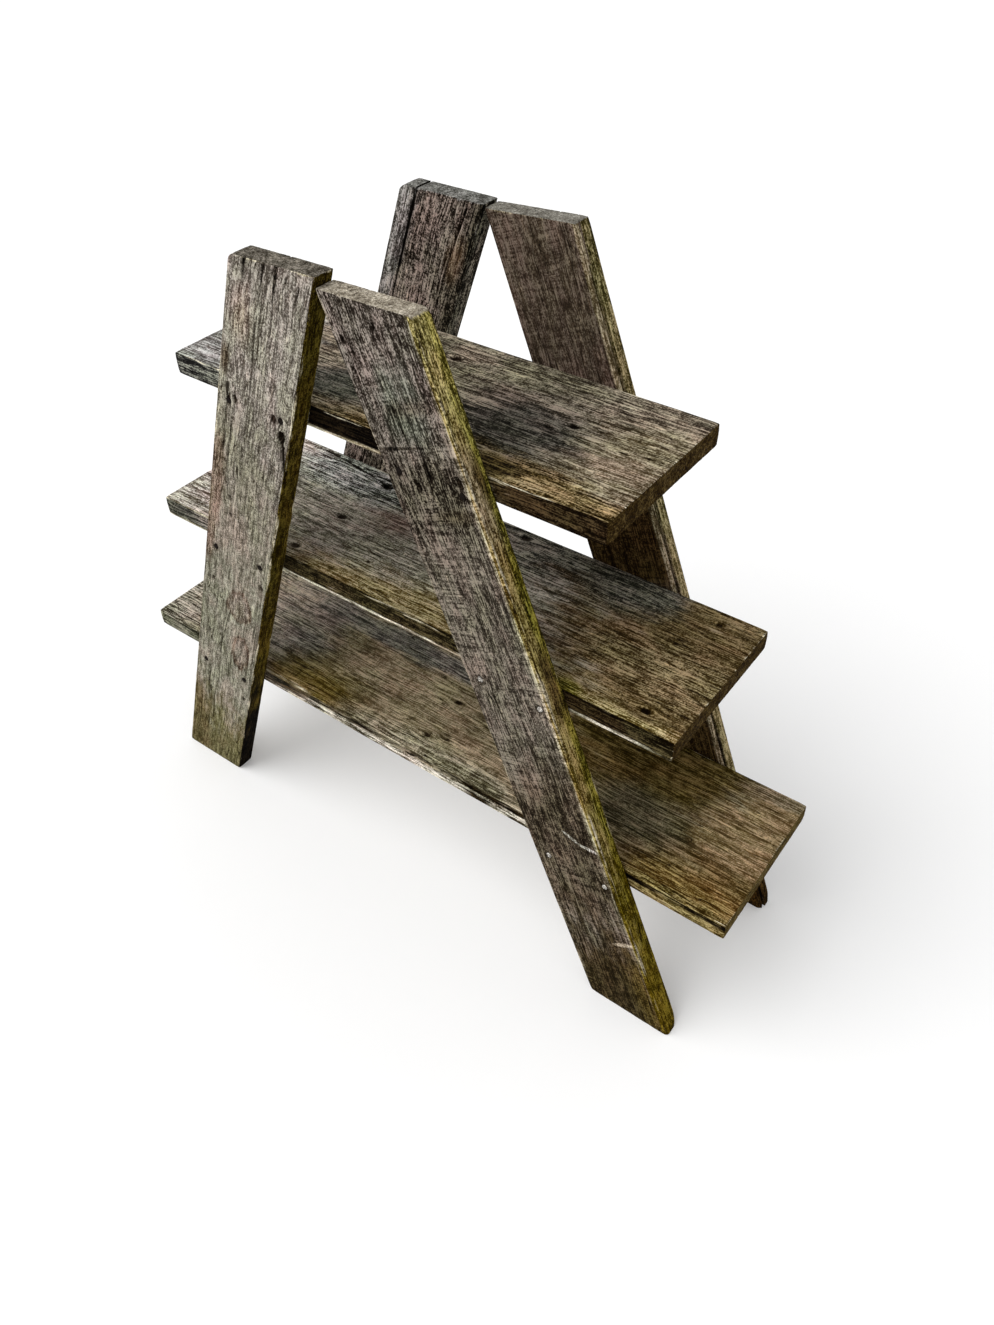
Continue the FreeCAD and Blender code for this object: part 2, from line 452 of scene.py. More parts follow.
def weathered_wood(name, seed, tones, stains, saw_marks, torn, rubbed, arris_tones, end_tones):
    """Weathered wood: wandering fibres, splinters, shakes, saw marks, stains, rubbed arrises and end grain.
    Saw marks, tearing and rubbing have a strength each. Tearing breaks the long fibres up into blotches."""
    material, tree, shader = new_material(name)
    straight = node(tree, "Attribute", attribute_name="grain").outputs["Vector"]
    worn = node(tree, "Attribute", attribute_name="worn_depth").outputs["Fac"]
    arris = node(tree, "Attribute", attribute_name="arris").outputs["Fac"]
    end_grain = node(tree, "Attribute", attribute_name="end_grain").outputs["Fac"]
    broad_face = node(tree, "Attribute", attribute_name="broad_face").outputs["Fac"]

    wander = streaks(tree, straight, seed + 7, 90, 22, 2).outputs["Color"]
    feeds = {0: wander, 1: (0, 10 * MM, 10 * MM), 2: straight}
    wood = node(tree, "VectorMath", feeds, operation="MULTIPLY_ADD")

    fibres = streaks(tree, wood, seed, 55, 1.5, 2)
    hairs = streaks(tree, wood, seed + 11, 22, 1.0, 2)
    strands = streaks(tree, wood, seed + 1, 90, 4.0, 3)
    grit = streaks(tree, wood, seed + 2, 2.0, 1.5, 2)
    saw = streaks(tree, straight, seed + 3, 1.9, 26, 2)
    saw_bands = streaks(tree, straight, seed + 12, 7, 70, 2)
    blotches = streaks(tree, straight, seed + 14, 11, 6, 3)
    clouds = streaks(tree, straight, seed + 4, 60, 28, 3)
    hues = streaks(tree, straight, seed + 9, 60, 30, 3)
    splinters = streaks(tree, wood, seed + 5, 24, 1.0, 1)
    shakes = streaks(tree, wood, seed + 6, 130, 11, 2)

    saw_lines = sums(tree, "MULTIPLY", sums(tree, "SUBTRACT", saw, 0.5), spread(tree, clouds, 0.47, 0.6))
    saw_lines = sums(tree, "MULTIPLY_ADD", sums(tree, "SUBTRACT", saw_bands, 0.5), 0.4, saw_lines)
    saw_lines = sums(tree, "MULTIPLY", saw_lines, spread(tree, broad_face, 0.5, 0.9))
    ring_drift = streaks(tree, straight, seed + 13, 280, 45, 2)
    in_log = node(tree, "SeparateXYZ", {0: wood})
    depth = sums(tree, "MULTIPLY_ADD", in_log.outputs[2], 1.3, in_log.outputs[1])
    rings = sums(tree, "MULTIPLY_ADD", ring_drift, 9, sums(tree, "DIVIDE", depth, 6 * MM))
    late_wood = spread(tree, sums(tree, "PINGPONG", rings, 0.5), 0.15, 0.0)
    late_wood = sums(tree, "MULTIPLY", late_wood, spread(tree, hues, 0.42, 0.58))
    relief = spread(tree, worn, 0.3, 1.1, 0.1, -0.2)
    tone = swings(tree, 0.5, (fibres, 3.4 - 0.9 * torn), (hairs, 1.2), (strands, 1.2), (grit, 2.0 * torn))
    tone = swings(tree, tone, (blotches, 0.4 + torn), (clouds, 0.9))
    tone = sums(tree, "MULTIPLY_ADD", late_wood, -0.25, tone)
    tone = sums(tree, "ADD", sums(tree, "MULTIPLY_ADD", saw_lines, 3.0 * saw_marks, tone), relief)
    ragged = swings(tree, 1.0, (clouds, 1.2), (strands, 0.5), (fibres, 0.4))

    colour = toned(tree, tone, tones)
    for stain_tones, centre, reach, turn, blur in stains:
        feeds = {"Vector": straight, "Location": centre, "Rotation": (0, 0, turn), "Scale": reach}
        placed = node(tree, "Mapping", feeds, vector_type="TEXTURE")
        along, across, through = node(tree, "SeparateXYZ", {0: placed}).outputs
        squares = sums(tree, "MULTIPLY_ADD", along, along, sums(tree, "MULTIPLY", across, across))
        outside = sums(tree, "MAXIMUM", sums(tree, "SQRT", squares), sums(tree, "ABSOLUTE", through))
        border = sums(tree, "SUBTRACT", sums(tree, "ADD", outside, ragged), 1.0)
        covered = spread(tree, border, 1 + blur, 1 - blur, smooth=True)
        colour = over(tree, covered, colour, toned(tree, tone, stain_tones))
    tints = node(tree, "ValToRGB", {0: hues})
    stops = tints.color_ramp.elements
    stops[0].position, stops[0].color = 0.36, (1.06, 0.975, 1.0, 1)
    stops[1].position, stops[1].color = 0.64, (0.965, 1.01, 0.93, 1)
    stops.new(0.5).color = (1.0, 1.0, 1.0, 1)
    colour = over(tree, 1.0, colour, tints, "MULTIPLY")
    rub = sums(tree, "ADD", arris, swings(tree, rubbed, (clouds, 1.8), (fibres, 0.8), (strands, 0.6)))
    colour = over(tree, spread(tree, rub, 0.68, 0.95), colour, toned(tree, tone, arris_tones))
    pores = streaks(tree, straight, seed + 8, 400, 2.0, 4, 0.75)
    end_patches = streaks(tree, straight, seed + 10, 400, 11, 3, 0.7)
    end_tone = swings(tree, 0.5, (pores, 2.8), (end_patches, 1.4))
    colour = over(tree, spread(tree, end_grain, 0.6, 0.85), colour, toned(tree, end_tone, end_tones))

    lifted = spread(tree, splinters, 0.61, 0.73, 0.0, 0.85)
    colour = over(tree, lifted, colour, (1.75, 1.7, 1.6, 1), "MULTIPLY")
    pitted = spread(tree, splinters, 0.36, 0.26, 0.0, 0.35)
    hairline = spread(tree, sums(tree, "ABSOLUTE", sums(tree, "SUBTRACT", shakes, 0.5)), 0.012, 0.003)
    hairline = sums(tree, "MULTIPLY", hairline, spread(tree, hues, 0.46, 0.56))
    # painted shade in the deepest hollows: cracks and holes are darkened, which also gives the sunk knots
    # their dark colour
    deep = sums(tree, "MULTIPLY", spread(tree, worn, 1.3, 2.4), spread(tree, arris, 0.8, 0.45))
    dark = sums(tree, "MAXIMUM", sums(tree, "MAXIMUM", pitted, hairline), deep)
    colour = over(tree, dark, colour, (0.16, 0.13, 0.11, 1), "MULTIPLY")

    raised = (fibres, 1.0), (hairs, 0.5), (strands, 0.5), (grit, 0.5 * torn), (splinters, 0.5)
    height = swings(tree, 0.5, *raised)
    height = sums(tree, "MULTIPLY_ADD", saw_lines, saw_marks, height)
    height = sums(tree, "MULTIPLY_ADD", hairline, -0.5, height)
    bump = node(tree, "Bump", {"Height": height, "Strength": 0.8, "Distance": 1.2 * MM})
    roughness = spread(tree, tone, 0.2, 0.8, 0.95, 0.78)
    surface = {"Base Color": colour, "Normal": bump, "Roughness": roughness, "Specular IOR Level": 0.02}
    feed(tree, shader, surface)
    return material


def put_up(board, cad_node, material):
    """Gives a finished board its material and its place in the stand."""
    board.piece.data.materials.append(material)
    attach(board.piece, "root")
    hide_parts(cad_node)


silver_brown = ((97, 90, 78), (121, 114, 100), (143, 136, 123))
pale_top = ((97, 89, 80), (129, 121, 112), (160, 153, 143))
sage_grey = ((105, 100, 86), (126, 122, 107), (144, 140, 126))
bare_pink = ((79, 64, 50), (111, 94, 80), (139, 123, 109))
pink_patch = ((88, 72, 62), (130, 113, 101), (162, 148, 136))
ring_brown = ((64, 51, 39), (88, 75, 62), (114, 101, 87))
ring_inside = ((94, 82, 70), (122, 112, 100), (150, 141, 129))
green_foot = ((85, 78, 50), (97, 90, 60), (112, 106, 76))
brown_foot = ((73, 63, 37), (86, 76, 47), (104, 95, 66))
olive_edge = ((40, 29, 2), (62, 50, 9), (84, 72, 26))
dark_check = ((14, 11, 8), (34, 29, 24), (70, 63, 54))
painted_shade_heel = ((4, 2, 1), (8, 5, 2), (24, 18, 10))
cream = ((140, 128, 98), (178, 168, 140), (206, 198, 174))
grey_end = ((54, 48, 39), (92, 87, 77), (136, 129, 118))

front_left, top_corner = saw_leg("front_left_board", "front_left_leg", LEFT, top_outer_drop=2.9 * MM)
wear_round(front_left.piece, top_corner, (1, 0, 0), -front_left.axes[0], 10 * MM)
front_left.season()
weather(front_left, 1)
old_holes = [(692, -26, 2.6, 3.0), (690, 38, 4.2, 4.5), (200, 38, 2.2, 2.4), (446, 40, 3.0, 1.8),
             (530, 8, 4.0, 0.9), (740, 20, 5.0, 0.8), (704, 25, 3.4, 2.6), (526, -16, 1.8, 1.8),
             (551, -19, 2.0, 1.5), (396, -33, 2.2, 2.0), (486, 1, 1.8, 1.3), (633, 6, 4.0, 0.8)]
mark(front_left, FRONT, nail_dents(front_left, "front_left_leg") + old_holes)
crack(front_left, FRONT, [(692, 37), (674, 43), (640, 51)], 2.6 * MM, 4 * MM)
crack(front_left, FRONT, [(706, -36), (640, -36), (560, -34)], 0.9 * MM, 1.8 * MM)
crack(front_left, FRONT, [(800, -10), (720, -8), (630, -8)], 0.9 * MM, 1.6 * MM)
crack(front_left, FRONT, [(697, -26), (662, -24)], 0.9 * MM, 1.8 * MM)
for across, length in [(-30, 26), (-8, 40), (3, 18), (19, 14), (34, 22)]:
    crack(front_left, FRONT, [(864, across), (864 - length, across - 2)], 1.1 * MM, 2.4 * MM)
front_left.finish_wear()
put_up(front_left, "front_left_leg", weathered_wood(
    "silver_leg_wood", 11.0, silver_brown, saw_marks=0.2, torn=1.5, rubbed=-0.18,
    arris_tones=cream, end_tones=grey_end,
    stains=[
        stain(pale_top, along=(640, 1400)),
        stain(sage_grey, along=(120, 480), blur=0.4),
        stain(bare_pink, along=(440, 650), across=(-60, -30), through=(-20, -2)),
        stain(pink_patch, along=(764, 826), across=(-42, -16), through=(-20, -2), blur=0.6),
        face_stain(ring_brown, (715, 750), (-49, -38), blur=0.6),
        face_stain(ring_brown, (262, 330), (8, 38), blur=0.15),
        face_stain(silver_brown, (272, 322), (13, 33)),
        face_stain(ring_brown, (352, 412), (-10, 31), blur=0.15),
        face_stain(ring_inside, (359, 405), (-5, 26), blur=0.3),
        face_stain(dark_check, (828, 900), (-32.4, -27.8), blur=0.35),
        face_stain(dark_check, (832, 900), (-10.2, -5.8), blur=0.35),
        face_stain(dark_check, (838, 900), (5, 9.4), blur=0.35),
        stain(green_foot, along=(-400, 150)),
        stain(brown_foot, along=(-60, 160), across=(-80, -12), blur=0.5),
        stain(olive_edge, across=(48.4, 52), blur=0.12),
        # painted shade: the inner edge near the foot, facing in under the shelves, is painted near black
        stain(painted_shade_heel, along=(-300, 220), across=(48.4, 52), blur=0.3),
    ],
))

# Front right leg: the same kind of board, browner, with the marks of a coarse saw across it.
# Its top corner butts against the left leg, its outer edge is coated with yellow-green algae,
# and the back of its sole has worn round. Its lower nail heads are bare steel, painted near white as a
# painted glint.
lilac_brown = ((54, 47, 39), (86, 79, 69), (121, 113, 101))
upper_lilac = ((44, 37, 31), (84, 77, 69), (131, 123, 114))
green_grey = ((58, 57, 48), (90, 90, 80), (128, 127, 116))
low_brown = ((42, 34, 24), (67, 58, 46), (104, 94, 79))
hatched_brown = ((36, 28, 19), (57, 48, 38), (97, 87, 72))
nail_shadow = ((26, 19, 13), (57, 50, 42), (110, 102, 90))
foot_brown = ((32, 24, 9), (45, 35, 18), (72, 61, 40))
foot_gold = ((46, 35, 9), (67, 52, 20), (94, 79, 42))
scratched = ((110, 104, 94), (164, 159, 150), (208, 204, 196))
dull_scratch = ((112, 102, 80), (146, 136, 114), (176, 167, 146))
ochre_edge = ((62, 47, 12), (107, 90, 43), (153, 137, 89))
green_algae = ((44, 38, 2), (88, 81, 14), (136, 127, 54))
lime_algae_and_painted_light = ((66, 60, 14), (122, 113, 46), (172, 162, 90))
pink_edge = ((70, 54, 32), (118, 100, 74), (160, 144, 120))
foot_algae = ((60, 48, 0), (84, 70, 4), (114, 99, 30))
algae_and_painted_light = ((78, 68, 30), (142, 129, 76), (192, 179, 124))
red_rot = ((34, 24, 8), (58, 44, 20), (92, 76, 42))
worn_tan = ((100, 91, 68), (146, 136, 110), (186, 177, 153))
rubbed_brown = ((84, 74, 56), (118, 108, 88), (158, 149, 128))
fresh_end = ((112, 102, 88), (156, 147, 130), (190, 181, 165))

front_right, top_corner = saw_leg("front_right_board", "front_right_leg", RIGHT, top_inner_drop=2.4 * MM)
foot_low, foot_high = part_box("front_right_leg")
heel = Vector((foot_high.x, foot_high.y, 0))
toe = Vector((foot_high.x, foot_low.y, 0))
wear_round(front_right.piece, heel, (0, -1, 0), (0, 0, 1), 8 * MM)
wear_round(front_right.piece, heel, (-1, 0, 0), (0, -1, 0), 12 * MM)
wear_round(front_right.piece, toe, (-1, 0, 0), (0, 1, 0), 6 * MM)
wear_round(front_right.piece, top_corner, (-1, 0, 0), -front_right.axes[0], 9 * MM)
front_right.season()
weather(front_right, 21)
worm_holes = [(702, 36, 3.6, 3.0), (701, -15, 3.0, 2.6), (842, -40, 1.6, 3.0), (830, -33, 1.8, 3.0),
              (815, -40, 1.4, 2.6), (848, 2, 1.8, 3.0), (214, -4, 3.0, 1.2), (510, 30, 3.4, 1.2)]
mark(front_right, FRONT, nail_dents(front_right, "front_right_leg") + worm_holes)
crack(front_right, FRONT, [(830, 50), (750, 20), (670, -10)], 0.8 * MM, 1.2 * MM)
front_right.finish_wear()
put_up(front_right, "front_right_leg", weathered_wood(
    "brown_leg_wood", 37.0, lilac_brown, saw_marks=0.75, torn=1.4, rubbed=-0.2,
    arris_tones=rubbed_brown, end_tones=fresh_end,
    stains=[
        stain(upper_lilac, along=(725, 1400)),
        stain(green_grey, along=(745, 815), across=(-22, 26), through=(-20, -2), blur=0.5),
        stain(low_brown, along=(150, 380), blur=0.4),
        stain(hatched_brown, along=(222, 352), across=(-30, 36), through=(-20, -2), blur=0.5),
        stain(nail_shadow, along=(648, 724), blur=0.35),
        stain(foot_brown, along=(-400, 165), blur=0.35),
        stain(foot_gold, along=(-60, 130), across=(24, 80), blur=0.5),
        face_stain(dull_scratch, (125, 131), (18, 49), turn=-13),
        face_stain(scratched, (271, 275), (20, 44), turn=17),
        face_stain(scratched, (281.5, 285.5), (1, 25), turn=40),
        face_stain(dark_check, (737.5, 740.5), (-64, 12), turn=2, blur=0.35),
        face_stain(nail_shadow, (767, 782), (-14, 46), blur=1.0),
        face_stain(hatched_brown, (663, 676), (-10, 48), blur=0.8),
        stain(worn_tan, along=(160, 800), across=(41.5, 47), through=(-20, -9), blur=0.7),
        stain(ochre_edge, across=(44.5, 52), blur=0.15),
        stain(green_algae, across=(45, 61), through=(0, 25), blur=0.4),
        stain(foot_algae, along=(-400, 330), across=(44.5, 52), blur=0.4),
        # painted light: the algae on the outer edge and its back arris is painted brighter towards the top
        stain(algae_and_painted_light, along=(725, 1300), across=(44.5, 52), blur=0.3),
        stain(lime_algae_and_painted_light, along=(725, 1300), across=(45, 61), through=(2, 25), blur=0.5),
        stain(pink_edge, along=(640, 735), across=(46, 60), through=(-14, 2), blur=0.7),
        stain(red_rot, along=(440, 528), across=(46, 60), through=(-6, 9), blur=0.6),
        stain(red_rot, along=(676, 728), across=(46, 60), through=(-4, 6), blur=0.6),
    ],
))

# Back left leg: a dark grey board with a long split that opens from its top end.
# The split runs with the grain, and the sliver outside it has bleached paler than the rest.
dark_grey = ((26, 20, 14), (73, 64, 56), (138, 126, 116))
bleached = ((62, 58, 54), (108, 104, 99), (156, 152, 148))
rusty_patch = ((74, 56, 41), (108, 87, 70), (140, 119, 102))
blue_end = ((60, 58, 53), (102, 101, 96), (146, 145, 140))
split_shade = ((5, 4, 3), (12, 10, 8), (30, 27, 23))
black_streaked = ((14, 11, 6), (54, 49, 39), (128, 122, 108))
shaded_side = ((16, 13, 9), (46, 41, 33), (98, 90, 78))



def saw_cutter(middle, up, size):
    """A block that leans with a leg, for cutting into it."""
    bpy.ops.object.select_all(action="DESELECT")
    lean = math.atan2(up.x, up.z)
    bpy.ops.mesh.primitive_cube_add(size=1, location=middle, rotation=(0, lean, 0), scale=size)
    bpy.ops.object.transform_apply(location=True, rotation=True, scale=True)
    return bpy.context.object


back_left, top_corner = saw_leg("back_left_board", "back_left_leg", LEFT)
down, inwards = -Vector(back_left.axes[0]), Vector(back_left.axes[1])
wear_round(back_left.piece, top_corner, (1, 0, 0), down, 12 * MM)
split_length = 140 * MM
split_width = 2.5 * MM
split_inset = 21 * MM
past_top = 12 * MM
split_middle = top_corner + inwards * split_inset + down * split_length / 2
wedge = saw_cutter(split_middle, -down, (split_width, 2 * leg_thickness, split_length))
bottom = points_of(wedge)[:, 2] < split_middle.z
edit(wedge, "vertices", bottom)
bpy.ops.transform.resize(value=(0.1, 1, 1), center_override=split_middle + down * split_length / 2)
close(wedge)
edit(wedge, "vertices", ~bottom)
bpy.ops.transform.translate(value=-down * past_top)
close(wedge)
cut_away(back_left.piece, wedge)
back_left.season()
weather(back_left, 41)
mark(back_left, BACK, nail_dents(back_left, "back_left_leg"))
crack(back_left, FRONT, [(870, -39), (836, -40)], 1.8 * MM, 2.6 * MM)
crack(back_left, FRONT, [(870, 20), (846, 19)], 1.1 * MM, 2.0 * MM)
crack(back_left, FRONT, [(866, 32), (800, 27), (740, 28)], 1.1 * MM, 2.2 * MM)
back_left.finish_wear()
put_up(back_left, "back_left_leg", weathered_wood(
    "dark_leg_wood", 53.0, dark_grey, saw_marks=0.3, torn=1.3, rubbed=-0.1,
    arris_tones=bleached, end_tones=blue_end,
    stains=[
        stain(bleached, along=(640, 1100), across=(-80, -28)),
        stain(shaded_side, along=(560, 1100), across=(35, 75), through=(-20, 14), blur=0.6),
        face_stain(rusty_patch, (788, 832), (25, 41), blur=0.9),
        stain(green_foot, along=(-300, 120)),
        stain(black_streaked, across=(48.4, 52), blur=0.12),
        stain(split_shade, along=(690, 1100), across=(-31.2, -26.8), blur=0.3),
    ],
))

# Back right leg: a dark brown board sawn from an old floorboard, so its outer edge keeps a groove.
# Its top is cut at a steep slope, fine saw lines run across it and the lip beside the groove is pale.
dark_brown = ((61, 49, 39), (79, 66, 56), (101, 89, 78))
wet_foot = ((22, 13, 3), (42, 28, 9), (70, 51, 20))
painted_shade_brown = ((34, 22, 9), (49, 36, 18), (74, 58, 33))
pale_lip = ((92, 79, 54), (134, 121, 94), (172, 161, 135))
weathered_end = ((88, 84, 76), (118, 114, 105), (150, 147, 138))
olive_lip = ((66, 58, 26), (112, 101, 62), (160, 148, 110))

back_right, top_corner = saw_leg("back_right_board", "back_right_leg", RIGHT, top_inner_drop=6.8 * MM)
foot_low, foot_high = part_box("back_right_leg")
wear_round(back_right.piece, (foot_high.x, foot_low.y, 0), (-1, 0, 0), (0, 1, 0), 10 * MM)
wear_round(back_right.piece, (foot_high.x, foot_high.y, 0), (-1, 0, 0), (0, -1, 0), 10 * MM)
leg_up, leg_out = Vector(back_right.axes[0]), Vector(back_right.axes[1])
groove_depth = 5 * MM
groove_height = 6 * MM
groove_lip = 4 * MM
groove_length = 900 * MM
below_top = 40 * MM
groove_top = top_corner - leg_up * below_top - leg_out * (groove_depth / 2 - knocked_off)
groove_middle = groove_top - leg_up * groove_length / 2
groove_middle.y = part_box("back_right_leg")[0].y + groove_lip + groove_height / 2
plough = saw_cutter(groove_middle, leg_up, (groove_depth + 2 * knocked_off, groove_height, groove_length))
cut_away(back_right.piece, plough)
back_right.season()
weather(back_right, 61)
mark(back_right, BACK, nail_dents(back_right, "back_right_leg"))
back_right.finish_wear()
put_up(back_right, "back_right_leg", weathered_wood(
    "floorboard_wood", 71.0, dark_brown, saw_marks=0.9, torn=1.4, rubbed=-0.25,
    arris_tones=pale_lip, end_tones=weathered_end,
    stains=[
        # painted shade: the front face between the shelves, in under them, is painted darker brown
        face_stain(painted_shade_brown, (455, 585), blur=0.35),
        face_stain(painted_shade_brown, (205, 300), blur=0.35),
        stain(foot_brown, along=(-300, 140)),
        stain(pale_lip, across=(46, 60), through=(-16, -7), blur=0.2),
        stain(olive_lip, across=(46, 60), through=(-3, 15), blur=0.2),
        stain(wet_foot, along=(-300, 110), across=(30, 60), blur=0.3),
    ],
))

# Top shelf: a wide board nailed between the legs, grey, darker and bluer in a painted shadow beside the front
# right leg, and browner to the right.
# Its front edge is painted near black, with pale flecks along the arrises.
grey_brown = ((57, 49, 39), (98, 90, 75), (151, 142, 123))
bleached_left = ((91, 86, 81), (138, 135, 131), (181, 180, 176))
painted_shadow_blue = ((28, 26, 21), (54, 51, 44), (92, 88, 80))
teal_shade = ((32, 32, 26), (60, 60, 52), (104, 102, 92))
warm_right = ((77, 64, 44), (117, 104, 83), (158, 146, 125))
damp_shade = ((44, 37, 28), (77, 69, 57), (129, 120, 107))
golden_front = ((38, 28, 6), (96, 79, 44), (150, 132, 97))
front_shadow = ((24, 16, 8), (48, 38, 18), (86, 72, 42))
black_edge = ((3, 1, 0), (6, 3, 2), (29, 22, 12))
brown_edge = ((15, 8, 2), (32, 21, 8), (66, 54, 34))
speckled_edge = ((32, 31, 30), (67, 66, 63), (132, 130, 122))
brown_end = ((28, 15, 0), (50, 35, 7), (88, 72, 40))


def saw_shelf(name, cad_node):
    """A shelf that fills its node's box, its grain running from side to side."""
    low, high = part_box(cad_node)
    piece = saw_block(name, low, high)
    knock_off_arrises(piece)
    cut_finer(piece, (1, 0, 0), max(3 * MM, (high.x - low.x) / 220))
    cut_finer(piece, (0, 1, 0), 1.15 * MM)
    cut_finer(piece, (0, 0, 1), 1.15 * MM)

    def ends(places):
        """How far places are from the left end, and from the right end."""
        return places[:, 0] - low.x, high.x - places[:, 0]

    half_size = (high - low) / 2
    return Board(piece, (low + high) / 2, np.eye(3), half_size.y, half_size.z, ends, (1, 0, 0))


TOP = 1


def sink_knots(board, knots, depth):
    """Presses the knots of a shelf below its top face, to a depth in mm."""
    mark(board, TOP, [(*knot, depth) for knot in knots])


def top_stain(tones, along, across=(-400, 400), blur=0.25):
    """A stain on a shelf's top face alone."""
    return stain(tones, along, across, (0, 60), blur=blur)


def edge_stain(tones, along, blur=0.12):
    """A stain on a shelf's front edge, from arris to arris."""
    return stain(tones, along, (-102, -98.4), blur=blur)


top_shelf = saw_shelf("top_shelf_board", "top_shelf")
knots = [(-16, 60, 4), (159, 16, 3.4), (139, 2, 2.4)]
top_shelf.season(knots)
weather(top_shelf, 81)
sink_knots(top_shelf, knots, 2.4)
top_shelf.finish_wear()
put_up(top_shelf, "top_shelf", weathered_wood(
    "top_shelf_wood", 91.0, grey_brown, saw_marks=0.25, torn=1.0, rubbed=-0.3,
    arris_tones=cream, end_tones=brown_end,
    stains=[
        stain(bleached_left, along=(-400, -185)),
        top_stain(warm_right, (130, 400), blur=0.4),
        top_stain(grey_brown, (20, 290), (45, 160), blur=0.4),
        # painted shadow: the top face beside the front right leg is painted darker and blue-grey
        top_stain(damp_shade, (45, 185), (-20, 70), blur=0.5),
        top_stain(painted_shadow_blue, (45, 190), (-70, 30), blur=0.5),
        top_stain(teal_shade, (-135, -20), (-78, -18), blur=0.4),
        top_stain(golden_front, (-90, 400), (-150, -62), blur=0.3),
        top_stain(front_shadow, (112, 165), (-98, -66), blur=0.5),
        edge_stain(black_edge, (-170, 140)),
        edge_stain(brown_edge, (120, 400)),
        edge_stain(speckled_edge, (-400, -170)),
        stain(cream, along=(-180, 60), across=(-106, -96), through=(-16, -9), blur=0.4),
    ],
))

# Middle shelf: longer than the top one, with long cracks at the back, where it is painted darker and
# blue-grey as painted shade under the top shelf.
# A golden band runs along its front, and it is warm brown to the right.
wet_grey = ((83, 77, 66), (120, 114, 101), (162, 155, 142))
painted_shade_blue = ((42, 41, 36), (97, 97, 92), (180, 180, 174))
painted_shade_back = ((30, 30, 25), (66, 64, 56), (122, 118, 106))
middle_left = ((88, 76, 64), (155, 144, 132), (214, 207, 198))
rosy_patch = ((74, 62, 52), (104, 90, 79), (138, 124, 112))
middle_gold = ((78, 63, 30), (118, 101, 65), (158, 144, 111))
middle_right = ((56, 41, 15), (88, 71, 41), (130, 112, 81))
painted_shade_right = ((40, 40, 32), (77, 75, 66), (130, 126, 113))
pale_front = ((84, 67, 28), (131, 113, 69), (186, 170, 130))
moss_spot = ((66, 58, 8), (98, 90, 28), (140, 130, 70))
bright_arris = ((150, 142, 120), (196, 190, 170), (226, 221, 205))
streaked_right = ((56, 41, 16), (99, 83, 53), (152, 136, 103))
green_edge = ((16, 9, 1), (37, 31, 15), (74, 65, 42))
worn_edge = ((26, 25, 20), (54, 52, 46), (106, 103, 94))

middle_shelf = saw_shelf("middle_shelf_board", "middle_shelf")
knots = [(311, -75, 4), (309, 79, 3), (55, 87, 4.5), (-150, -5, 4), (-156, -78, 4.5), (-146, 75, 4.5)]
middle_shelf.season(knots)
weather(middle_shelf, 101)
sink_knots(middle_shelf, knots, 2.4)
crack(middle_shelf, TOP, [(-275, 96), (-215, 89), (-140, 76)], 2.2 * MM, 2.6 * MM)
crack(middle_shelf, TOP, [(-130, 84), (-190, 90), (-270, 80)], 1.4 * MM, 2.0 * MM)
crack(middle_shelf, TOP, [(356, -38), (330, -30), (300, -27)], 1.2 * MM, 1.6 * MM)
middle_shelf.finish_wear()
put_up(middle_shelf, "middle_shelf", weathered_wood(
    "middle_shelf_wood", 113.0, wet_grey, saw_marks=0.2, torn=1.0, rubbed=-0.25,
    arris_tones=cream, end_tones=brown_end,
    stains=[
        # painted shade: the back of the top face, under the top shelf, is painted darker and blue-grey
        top_stain(painted_shade_blue, (-330, -60), (28, 160), blur=0.4),
        top_stain(painted_shade_back, (20, 270), (30, 170), blur=0.4),
        stain(middle_left, along=(-600, -275)),
        top_stain(rosy_patch, (-125, -60), (0, 40), blur=0.6),
        top_stain(middle_right, (170, 600), blur=0.3),
        top_stain(streaked_right, (200, 420), (-55, 20), blur=0.6),
        top_stain(painted_shade_right, (150, 268), (40, 150), blur=0.4),
        top_stain(middle_gold, (-165, 260), (-140, -52), blur=0.35),
        top_stain(pale_front, (210, 600), (-120, -86), blur=0.4),
        top_stain(moss_spot, (206, 246), (-112, -80), blur=0.5),
        edge_stain(black_edge, (-270, -60)),
        edge_stain(green_edge, (-170, 640)),
        edge_stain(brown_edge, (225, 300), blur=0.2),
        edge_stain(worn_edge, (-600, -250)),
        stain(cream, along=(-400, 300), across=(-106, -96), through=(-17, -9.5), blur=0.3),
        stain(bright_arris, along=(-260, 70), across=(-108, -96), through=(-18, -8.5), blur=0.2),
        stain(bright_arris, along=(100, 320), across=(-108, -96), through=(-18, -8), blur=0.2),
    ],
))

# Bottom shelf: the longest board, an old floorboard with its groove left in the front edge.
# It is golden brown in the middle and tan to the right, and the lip below the groove is pale and broken.
golden_brown = ((90, 78, 55), (120, 107, 82), (150, 137, 112))
bottom_left = ((41, 35, 26), (103, 96, 81), (176, 170, 155))
lilac_shade = ((72, 66, 58), (106, 99, 88), (140, 132, 120))
blue_shade = ((69, 66, 60), (106, 102, 93), (140, 135, 124))
bottom_gold = ((64, 50, 13), (90, 74, 26), (122, 106, 58))
crisp_front = ((70, 62, 44), (118, 110, 88), (168, 160, 138))
olive_and_painted_shade = ((50, 38, 7), (76, 61, 25), (110, 94, 56))
tan = ((102, 82, 50), (134, 113, 80), (166, 145, 112))
bottom_right = ((62, 46, 14), (94, 76, 42), (134, 115, 78))
front_rust = ((70, 48, 14), (104, 80, 38), (146, 124, 80))
grey_lip = ((60, 58, 44), (88, 87, 72), (134, 131, 115))
grey_olive = ((48, 42, 24), (78, 71, 50), (112, 104, 82))
broken_lip = ((48, 40, 24), (138, 130, 111), (207, 201, 187))
yellow_lip = ((50, 36, 6), (107, 91, 48), (158, 143, 98))
black_stain_and_groove_shade = ((12, 8, 4), (26, 18, 8), (58, 46, 26))

